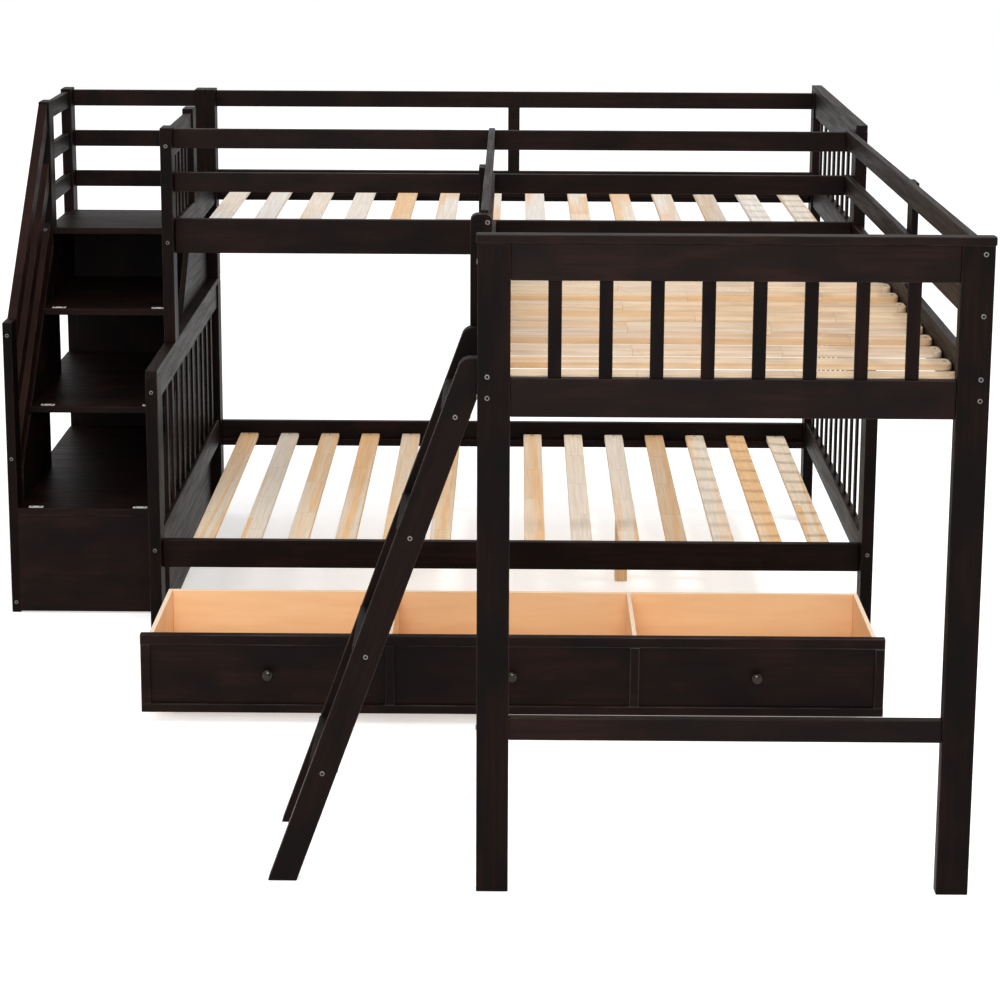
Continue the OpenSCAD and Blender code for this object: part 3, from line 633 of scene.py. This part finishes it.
# %% [markdown]
# ## Growing what repeats
#
# Slats and fasteners repeat by the dozen, so they are grown by Geometry Nodes: a tree takes
# sizes or points, puts a copy in each place and gives it a finish. Instances are only
# references to one shape, and an export would drop them, so each tree ends in Realize
# Instances, and the evaluated result is kept as a plain mesh.

# %% Start and end a tree


def new_growth(name, inputs):
    """An empty geometry tree with named inputs, and its two end nodes."""
    tree = bpy.data.node_groups.new(name, "GeometryNodeTree")
    for title, kind in (("Geometry", "Geometry"), *inputs):
        tree.interface.new_socket(name=title, in_out="INPUT", socket_type="NodeSocket" + kind)
    tree.interface.new_socket(name="Geometry", in_out="OUTPUT",
                              socket_type="NodeSocketGeometry")
    return tree, add(tree, "NodeGroupInput"), add(tree, "NodeGroupOutput")


def end_growth(tree, instances, finish, output):
    """Realize Instances and Set Material, the last two steps of every tree."""
    real = feed(tree, add(tree, "GeometryNodeRealizeInstances"), Geometry=instances)
    done = feed(tree, add(tree, "GeometryNodeSetMaterial"), Geometry=real.outputs[0],
                Material=finish)
    feed(tree, output, Geometry=done.outputs[0])


# %% Grow a piece and keep it


def grow(name, tree, body, slot, base=None, eased=0.0, **values):
    """Runs a tree on a new object and keeps the result as a plain mesh on a body."""
    made = bpy.data.objects.new(name, base or bpy.data.meshes.new(name))
    bpy.context.scene.collection.objects.link(made)
    growth = made.modifiers.new("growth", "NODES")
    growth.node_group = tree
    for socket in tree.interface.items_tree:
        key = socket.name.replace(" ", "_").lower()
        if socket.in_out == "INPUT" and key in values:
            growth[socket.identifier] = values[key]
    if eased:
        ease_edges(made, eased)
    bpy.context.view_layer.update()
    shot = made.evaluated_get(bpy.context.evaluated_depsgraph_get())
    plain = bpy.data.meshes.new_from_object(shot)
    made.modifiers.clear()
    made.data = plain
    plain.name = name
    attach(made, body)
    print(f"{name}: {len(plain.vertices)} points, {len(plain.polygons)} faces")
    return made


# %% [markdown]
# ## Slats
#
# A slat is a flat strip of pine whose corners are rounded, with edges that were eased by
# sandpaper. The tree draws the strip's outline as a curve, fills it, gives it a thickness and
# sets it on a line of points. Each copy keeps its number, from which the pine picks its
# offcuts, so no two slats look alike. The CAD slats give the sizes and stay for collision,
# hidden.

# %% The slat tree
slat_row, row_in, row_out = new_growth(
    "Slat Row",
    [("Count", "Int"), ("Start", "Vector"), ("Step", "Vector"), ("Length X", "Float"),
     ("Length Y", "Float"), ("Thickness", "Float"), ("Corner Radius", "Float"),
     ("First Number", "Int"), ("Finish", "Material")])
outline = feed(slat_row, add(slat_row, "GeometryNodeCurvePrimitiveQuadrilateral"),
               Width=row_in.outputs["Length X"], Height=row_in.outputs["Length Y"])
outline = feed(slat_row, add(slat_row, "GeometryNodeFilletCurve", mode="POLY"),
               Curve=outline.outputs[0], Count=5, Radius=row_in.outputs["Corner Radius"])
strip = feed(slat_row, add(slat_row, "GeometryNodeFillCurve", mode="NGONS"),
             Curve=outline.outputs[0])
rise = feed(slat_row, add(slat_row, "ShaderNodeCombineXYZ"), Z=row_in.outputs["Thickness"])
thick = feed(slat_row, add(slat_row, "GeometryNodeExtrudeMesh", mode="FACES"),
             Mesh=strip.outputs[0], Offset=rise.outputs[0], Offset_Scale=1.0,
             Individual=False)
under = feed(slat_row, add(slat_row, "GeometryNodeFlipFaces"), Mesh=strip.outputs[0])
both = add(slat_row, "GeometryNodeJoinGeometry")
slat_row.links.new(under.outputs[0], both.inputs[0])
slat_row.links.new(thick.outputs[0], both.inputs[0])
closed = feed(slat_row, add(slat_row, "GeometryNodeMergeByDistance"),
              Geometry=both.outputs[0], Distance=SAME_POINT)
line = feed(slat_row, add(slat_row, "GeometryNodeMeshLine", mode="OFFSET"),
            Count=row_in.outputs["Count"], Start_Location=row_in.outputs["Start"],
            Offset=row_in.outputs["Step"])
copies = feed(slat_row, add(slat_row, "GeometryNodeInstanceOnPoints"),
              Points=line.outputs[0], Instance=closed.outputs[0])
index = add(slat_row, "GeometryNodeInputIndex")
number = maths(slat_row, "ADD", index.outputs[0], row_in.outputs["First Number"])
kept = add(slat_row, "GeometryNodeStoreNamedAttribute", data_type="FLOAT", domain="INSTANCE")
feed(slat_row, kept, Geometry=copies.outputs[0], Name="slat_number", Value=number)
end_growth(slat_row, kept.outputs[0], row_in.outputs["Finish"], row_out)
print("slat tree:", len(slat_row.nodes), "nodes")

# %% Grow the three beds' slats
SLATS = 14
SLAT_WIDTH = 0.060
SLAT_EASE = 0.0018
SLAT_CORNER = {"lower": 0.005, "upper": 0.005, "loft": 0.012}
FIRST_NUMBER = {"lower": 3, "upper": 21, "loft": 47}
slat_rows = {}
for bed, first in FIRST_NUMBER.items():
    low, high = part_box(f"{bed}_slats")
    size = high - low
    if bed == "loft":
        span = (size.x, SLAT_WIDTH)
        step = Vector((0, (size.y - SLAT_WIDTH) / (SLATS - 1), 0))
    else:
        span = (SLAT_WIDTH, size.y)
        step = Vector(((size.x - SLAT_WIDTH) / (SLATS - 1), 0, 0))
    start = Vector((low.x + span[0] / 2, low.y + span[1] / 2, low.z))
    slat_rows[bed] = (start, step, span, size.z)
    row = grow(f"{bed}_jointed_slats", slat_row, "bed", "slat_wood", eased=SLAT_EASE,
               count=SLATS, start=start, step=step, length_x=span[0], length_y=span[1],
               thickness=size.z, corner_radius=SLAT_CORNER[bed], first_number=first,
               finish=slat_pine[bed])
    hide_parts(f"{bed}_slats")

# %% [markdown]
# ## Bolts and screws
#
# The frame is held by zinc bolts with a hexagon socket, and each slat by a screw at both
# ends. One head of each kind is drawn as a small mesh: rings of points joined by faces, with
# the socket sunk into the top and a closed underside that is let into the wood. A tree then
# sets a copy on every point of a list, turned to face the way that the point says, and spun
# by a seeded random angle, as fitters leave them.

# %% Rings and skins


def ring(shape, radii, count, height):
    """A ring of points of a mesh that is being made; its points take the radii in turn."""
    points = []
    for i in range(count):
        radius = radii[i % len(radii)]
        angle = 2 * math.pi * i / count
        points.append(shape.verts.new((radius * math.cos(angle), radius * math.sin(angle),
                                       height)))
    return points


def skin(shape, first, second):
    """Faces between two rings of as many points, which point outwards going up."""
    for i in range(len(first)):
        j = (i + 1) % len(first)
        shape.faces.new((first[i], first[j], second[j], second[i]))


# %% Draw a head
LET_IN = 0.0010
WALL_SHARE = 0.45
CROWN_SHARE = 0.86


def head(name, radius, height, socket, corners, depth, sides=20):
    """A bolt's or screw's head. Two radii for the socket make a star, one a polygon."""
    shape = bmesh.new()
    rings = [ring(shape, (radius,), sides, -LET_IN),
             ring(shape, (radius,), sides, height * WALL_SHARE),
             ring(shape, (radius * CROWN_SHARE,), sides, height)]
    shape.faces.new(reversed(rings[0]))
    for lower, upper in zip(rings, rings[1:]):
        skin(shape, lower, upper)
    mouth = ring(shape, socket, corners, height)
    rim = [shape.edges.new((mouth[i], mouth[(i + 1) % corners])) for i in range(corners)]
    top = [e for e in shape.edges if all(v in rings[-1] for v in e.verts)]
    bmesh.ops.triangle_fill(shape, edges=rim + top, normal=(0, 0, 1))
    deep = ring(shape, socket, corners, height - depth)
    skin(shape, deep, mouth)
    shape.faces.new(deep)
    shape.normal_update()
    mesh = bpy.data.meshes.new(name)
    shape.to_mesh(mesh)
    shape.free()
    return bpy.data.objects.new(name, mesh)


# %% One head of each kind
BOLT_HIGH = 0.0019
bolt_head = head("bolt_head", radius=0.0058, height=BOLT_HIGH, socket=(0.0034,), corners=6,
                 depth=0.0026)
screw_head = head("screw_head", radius=0.0038, height=0.0006, socket=(0.0024, 0.0009),
                  corners=8, depth=0.0005, sides=14)
print("faces in a head:", len(bolt_head.data.polygons), len(screw_head.data.polygons))

# %% The fastener tree
fasteners, fast_in, fast_out = new_growth(
    "Fasteners", [("Head", "Object"), ("Seed", "Int"), ("Finish", "Material")])
one_head = feed(fasteners, add(fasteners, "GeometryNodeObjectInfo"),
                Object=fast_in.outputs["Head"])
facing = feed(fasteners, add(fasteners, "GeometryNodeInputNamedAttribute",
                             data_type="FLOAT_VECTOR"), Name="facing")
aimed = feed(fasteners, add(fasteners, "FunctionNodeAlignRotationToVector", axis="Z"),
             Vector=facing.outputs[0])
spin = feed(fasteners, add(fasteners, "FunctionNodeRandomValue", data_type="FLOAT"),
            in2=0.0, in3=math.pi, Seed=fast_in.outputs["Seed"])
spun = feed(fasteners, add(fasteners, "FunctionNodeAxisAngleToRotation"),
            Axis=(0, 0, 1), Angle=spin.outputs[1])
turned = feed(fasteners, add(fasteners, "FunctionNodeRotateRotation", rotation_space="LOCAL"),
              Rotation=aimed.outputs[0], Rotate_By=spun.outputs[0])
placed = feed(fasteners, add(fasteners, "GeometryNodeInstanceOnPoints"),
              Points=fast_in.outputs["Geometry"], Instance=one_head.outputs["Geometry"],
              Rotation=turned.outputs[0])
end_growth(fasteners, placed.outputs[0], fast_in.outputs["Finish"], fast_out)
print("fastener tree:", len(fasteners.nodes), "nodes")


def points_facing(name, places):
    """A mesh of loose points, each with the way that it faces."""
    mesh = bpy.data.meshes.new(name)
    mesh.from_pydata([place for place, _ in places], [], [])
    ways = mesh.attributes.new("facing", "FLOAT_VECTOR", "POINT")
    ways.data.foreach_set("vector", [c for _, way in places for c in way])
    return mesh


# %% [markdown]
# ## Where the bolts are
#
# A bolt goes through a post into the end of each rail that the post carries, so its place
# follows from the boxes of the two pieces: it sits on the post's outer face, near the middle
# of the rail behind it. A wide side rail gets two bolts, one above the other.

# %% Note a bolt's place
FRONT = (0, -1, 0)
BACK = (0, 1, 0)
LEFT = (-1, 0, 0)
RIGHT = (1, 0, 0)
BACK_PROUD = 0.00005
bolts = []


def middle(node, axis):
    """The middle of a node's box along one axis."""
    low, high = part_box(node)
    return (low[axis] + high[axis]) / 2


def bolt(x, y, z, way):
    """Notes a bolt. At the very back its head is let in, so that the bed's box stays."""
    furthest = cad_box[1][1] - BOLT_HIGH + BACK_PROUD
    bolts.append(((x, min(y, furthest), z), way))


# %% Bolts of the loft
BOLT_SPREAD = 0.023
LEFT_INSET = 0.021
RIGHT_INSET = 0.020
ABOVE_MIDDLE = 0.011
UNDER_TOP = 0.018
GUARD_RISE = 0.032
GATE_INSET = 0.039
END_RAIL_INSET = 0.042
loft_low, loft_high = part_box("loft_posts")
guard_low, guard_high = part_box("loft_guard_rails")
gate_low, gate_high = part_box("loft_gate_post")
end_low, end_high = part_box("loft_end_rails")
side_z = middle("loft_side_rails", 2) + ABOVE_MIDDLE
for x in (loft_low.x + LEFT_INSET, loft_high.x - RIGHT_INSET):
    for z in (side_z + BOLT_SPREAD, side_z - BOLT_SPREAD):
        bolt(x, loft_low.y, z, FRONT)
for z in (guard_high.z - UNDER_TOP, guard_low.z + GUARD_RISE):
    bolt(loft_high.x - RIGHT_INSET, loft_low.y, z, FRONT)
bolt(gate_low.x + GATE_INSET, gate_low.y, gate_high.z - UNDER_TOP, FRONT)
for z in (end_low.z + END_RAIL_INSET, end_high.z - END_RAIL_INSET,
          middle("loft_stretcher", 2)):
    bolt(loft_low.x, middle("loft_posts", 1), z, LEFT)
    bolt(loft_high.x, middle("loft_posts", 1), z, RIGHT)
print(len(bolts), "bolts in the loft")

# %% Bolts of the stacked beds' ends
RISE = {"lower": 0.048, "upper": 0.042}
DROP = {"lower": 0.043, "upper": 0.040}
for side in ("left", "right"):
    x = middle(f"lower_{side}_posts", 0)
    for bed in ("lower", "upper"):
        post_low, post_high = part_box(f"{bed}_left_posts")
        low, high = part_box(f"{bed}_{side}_rails")
        for at_top, z in enumerate((low.z + RISE[bed], high.z - DROP[bed])):
            bolt(x, post_low.y, z, FRONT)
            # The bunk's top rail at the left ends at the entry, short of the back post.
            if not (at_top and bed == "upper" and side == "left"):
                bolt(x, post_high.y, z, BACK)
print(len(bolts), "bolts with those of the ends")

# %% Bolts of the stacked beds' long rails
HALF_RAIL = 0.011
SIDE_SPREAD = {"lower": 0.020, "upper": BOLT_SPREAD}
FRONT_GUARD_INSET = 0.028
BACK_GUARD_DROP = 0.026
left_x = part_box("upper_left_posts")[0].x
right_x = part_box("lower_right_posts")[1].x
for bed, apart in SIDE_SPREAD.items():
    low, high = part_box(f"{bed}_side_rails")
    rail_z = middle(f"{bed}_side_rails", 2)
    front_y = low.y + HALF_RAIL
    for y in (front_y, high.y - HALF_RAIL):
        for z in (rail_z + apart, rail_z - apart):
            bolt(right_x, y, z, RIGHT)
            # At the left only the bunk's front rail gets bolts: the stairs cover the back.
            if bed == "upper" and y == front_y:
                bolt(left_x, y, z, LEFT)
low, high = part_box("upper_front_guards")
for z in (low.z + FRONT_GUARD_INSET, high.z - FRONT_GUARD_INSET):
    bolt(right_x, middle("upper_front_guards", 1), z, RIGHT)
    bolt(left_x, middle("upper_front_guards", 1), z, LEFT)
low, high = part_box("upper_back_guard")
bolt(right_x, middle("upper_back_guard", 1), high.z - BACK_GUARD_DROP, RIGHT)
print(len(bolts), "bolts with those of the long rails")

# %% Bolts of the ladder
LADDER_STEPS = 4
STEP_RISE = 0.2695
FIRST_STEP = 0.253
HALF_LADDER_RAIL = 0.030
ladder_low, ladder_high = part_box("ladder_rails")
half_foot = HALF_LADDER_RAIL / math.cos(LADDER_LEAN)
for i in range(LADDER_STEPS):
    z = FIRST_STEP + i * STEP_RISE
    x = ladder_low.x + half_foot + math.tan(LADDER_LEAN) * z
    bolt(x, ladder_low.y, z, FRONT)
    bolt(x, ladder_high.y, z, BACK)
print(len(bolts), "bolts with the ladder's")

# %% Bolts of the stairs
HALF_BOARD = 0.0135
NEWEL_DROP = 0.038
NEWEL_HEIGHTS = (0.469, 0.031)
STRINGER_SHARES = (0.035, 0.965)
STRINGER_Y = 0.4085
STRINGER_Z = 0.429
SLANT_UP = (0, -math.sqrt(0.5), math.sqrt(0.5))
newel_low, newel_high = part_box("stair_newel")
for z in (newel_high.z - NEWEL_DROP, *NEWEL_HEIGHTS):
    bolt(newel_low.x + HALF_BOARD, newel_low.y, z, FRONT)
string_low, string_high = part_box("stair_stringer")
for share in STRINGER_SHARES:
    y = string_low.y + share * (string_high.y - string_low.y)
    # The top edge rises at 45 degrees from a known point.
    bolt(string_low.x + HALF_BOARD, y, STRINGER_Z + (y - STRINGER_Y), SLANT_UP)
print(len(bolts), "bolts in all")

# %% Grow the bolts
grow("frame_bolts", fasteners, "bed", "caster_steel",
     base=points_facing("bolt_points", bolts), head=bolt_head, seed=7, finish=bright_zinc)

# %% [markdown]
# ## Screws in the slats
#
# Each slat is screwed to the ledger under it at both ends. The places come from the same
# numbers that grew the slats, so the screws stay in the wood when a bed changes.

# %% Screws in the slats
SCREW_INSET = 0.013
UP = (0, 0, 1)
screws = []
for bed, (start, step, span, thick) in slat_rows.items():
    along = Vector((1, 0, 0)) if bed == "loft" else Vector((0, 1, 0))
    reach = max(span) / 2 - SCREW_INSET
    for i in range(SLATS):
        for end in (-1, 1):
            place = start + i * step + end * reach * along
            screws.append(((place.x, place.y, place.z + thick), UP))
grow("slat_screws", fasteners, "bed", "caster_steel",
     base=points_facing("screw_points", screws), head=screw_head, seed=11,
     finish=bright_zinc)

# %% [markdown]
# ## Plates on the treads
#
# A pair of thin zinc plates lies near the ends of each tread's front edge, which is what
# shows as two short bright lines in the photograph. A plate is a rounded strip, filled,
# thickened and copied by the tree that grew the slats, with two screws in each.

# %% Plates on the treads
PLATE_LONG = 0.042
PLATE_WIDE = 0.015
PLATE_THICK = 0.0016
PLATE_CORNER = 0.003
PLATE_EASE = 0.0004
PLATE_SETBACK = 0.010
PLATE_INSETS = {"left": 0.078, "right": 0.385}
PLATE_SCREW_AT = 0.013
TREADS = 3
TREAD_RISE = 0.255
TREAD_RUN = 0.225
tread_low, tread_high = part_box("stair_treads")
first_y = tread_low.y + PLATE_SETBACK + PLATE_WIDE / 2
first_z = tread_high.z - (TREADS - 1) * TREAD_RISE
plate_screws = []
for side, inset in PLATE_INSETS.items():
    x = tread_low.x + inset
    grow(f"tread_plates_{side}", slat_row, "bed", "caster_steel", eased=PLATE_EASE,
         count=TREADS, start=(x, first_y, first_z), step=(0, TREAD_RUN, TREAD_RISE),
         length_x=PLATE_LONG, length_y=PLATE_WIDE, thickness=PLATE_THICK,
         corner_radius=PLATE_CORNER, first_number=0, finish=pale_plate)
    for i in range(TREADS):
        for shift in (-PLATE_SCREW_AT, PLATE_SCREW_AT):
            plate_screws.append(((x + shift, first_y + i * TREAD_RUN,
                                  first_z + i * TREAD_RISE + PLATE_THICK), UP))
grow("tread_screws", fasteners, "bed", "caster_steel",
     base=points_facing("plate_points", plate_screws), head=screw_head, seed=3,
     finish=bright_zinc)
for shape in (bolt_head, screw_head):
    bpy.data.objects.remove(shape)

# %% [markdown]
# ## Floor and light
#
# The photograph is a studio shot on white: even light from everywhere, a little more from
# above and in front. A white world gives the even part, and two big soft lamps give the
# satin boards something to shine with. A third, small lamp at the right throws the bars of
# shadow that cross the last slats of the lower bed. The floor catches a faint shadow. It and
# the world are brighter for the eye, for mirror images and through glass than they are as
# lights, so the background is white without more light on the bed.

# %% The floor
FLOOR_HALF = 14.0
FLOOR_DROP = 0.0005
FLOOR_GREY = (0.86, 0.86, 0.86, 1)
FLOOR_GLOW = 0.42
WHITE = (1, 1, 1, 1)


def seen_by_eye(tree):
    """1 for rays from the camera, by way of a shine or through glass, 0 for the rest."""
    rays = add(tree, "ShaderNodeLightPath")
    seen = maths(tree, "MAXIMUM", rays.outputs["Is Camera Ray"],
                 rays.outputs["Is Glossy Ray"])
    return maths(tree, "MAXIMUM", seen, rays.outputs["Is Transmission Ray"])


floor_mesh = bpy.data.meshes.new("studio_floor")
floor_corners = [(x * FLOOR_HALF, y * FLOOR_HALF, -FLOOR_DROP)
                 for x, y in ((-1, -1), (1, -1), (1, 1), (-1, 1))]
floor_mesh.from_pydata(floor_corners, [], [(0, 1, 2, 3)])
floor = bpy.data.objects.new("studio_floor", floor_mesh)
bpy.context.scene.collection.objects.link(floor)
floor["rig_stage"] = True
floor_look, tree, shader = blank_material("studio_white")
feed(tree, shader, Base_Color=FLOOR_GREY, Roughness=0.9, Emission_Color=WHITE,
     Emission_Strength=maths(tree, "MULTIPLY", seen_by_eye(tree), FLOOR_GLOW))
floor.data.materials.append(floor_look)
print("floor:", 2 * FLOOR_HALF, "m wide")

# %% The white world
WORLD_LIGHT = 0.82
world = bpy.data.worlds.new("studio")
bpy.context.scene.world = world
world.use_nodes = True
sky = world.node_tree
sky.nodes.clear()
more = maths(sky, "MULTIPLY", seen_by_eye(sky), 1.0 - WORLD_LIGHT)
glow = feed(sky, add(sky, "ShaderNodeBackground"), Color=WHITE,
            Strength=maths(sky, "ADD", more, WORLD_LIGHT))
feed(sky, add(sky, "ShaderNodeOutputWorld"), Surface=glow.outputs[0])
print("world:", WORLD_LIGHT, "on the bed")

# %% The lamps


def studio_lamp(name, place, target, size, power):
    """A square area lamp that faces its target."""
    lamp = bpy.data.lights.new(name, "AREA")
    lamp.size = size
    lamp.energy = power
    made = bpy.data.objects.new(name, lamp)
    made.location = place
    aim = Vector(target) - Vector(place)
    made.rotation_euler = aim.to_track_quat("-Z", "Y").to_euler()
    bpy.context.scene.collection.objects.link(made)
    print(f"{name}: {power} W, {aim.length:.1f} m away")


studio_lamp("lamp_above", place=(-1.5, -2.0, 5.2), target=(0, 0, 0.6), size=4.5, power=80)
studio_lamp("lamp_right", place=(4.3, 0.6, 3.6), target=(0.6, 0.8, 0.4), size=0.30, power=80)
studio_lamp("lamp_front", place=(0.2, -7.0, 3.2), target=(0, -0.4, 0.4), size=3.0, power=275)

# %% [markdown]
# ## The camera
#
# The photograph was taken level, from far in front, and cropped well below the horizon. A
# lens shift can copy such a crop, but a shift that large would push the bed out of the frame
# from every other side. So the camera looks down by 11 degrees and has only a small shift,
# and the long lens keeps the uprights nearly parallel.

# %% The camera
CAMERA_AT = (0.2458, -6.4665, 2.3084)
LOOKS_DOWN = 11.2
TURNED = -0.40
ROLLED = -0.25
lens = bpy.data.cameras.new("photo_camera")
lens.lens = 87.3
lens.sensor_width = 36.0
lens.shift_y = -0.198
camera = bpy.data.objects.new("photo_camera", lens)
bpy.context.scene.collection.objects.link(camera)
camera.matrix_world = (
    Matrix.Translation(CAMERA_AT)
    @ Matrix.Rotation(math.radians(-TURNED), 4, "Z")
    @ Matrix.Rotation(math.radians(90 - LOOKS_DOWN), 4, "X")
    @ Matrix.Rotation(math.radians(-ROLLED), 4, "Z"))
bpy.context.scene.camera = camera
bpy.context.scene.view_settings.view_transform = "Standard"
print("camera at", [round(v, 3) for v in camera.matrix_world.translation])

# %% [markdown]
# ## Compare the sizes
#
# The last step prints how far the dressed bed's box has moved from the CAD box at its low and
# high corners, so that any piece that stands out too far is found at once.

# %% Compare the sizes
dressed_box = [list(corner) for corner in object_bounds()]
pairs = zip(cad_box[0] + cad_box[1], dressed_box[0] + dressed_box[1])
print("moved at the low and the high corner by", [round(b - a, 5) for a, b in pairs])
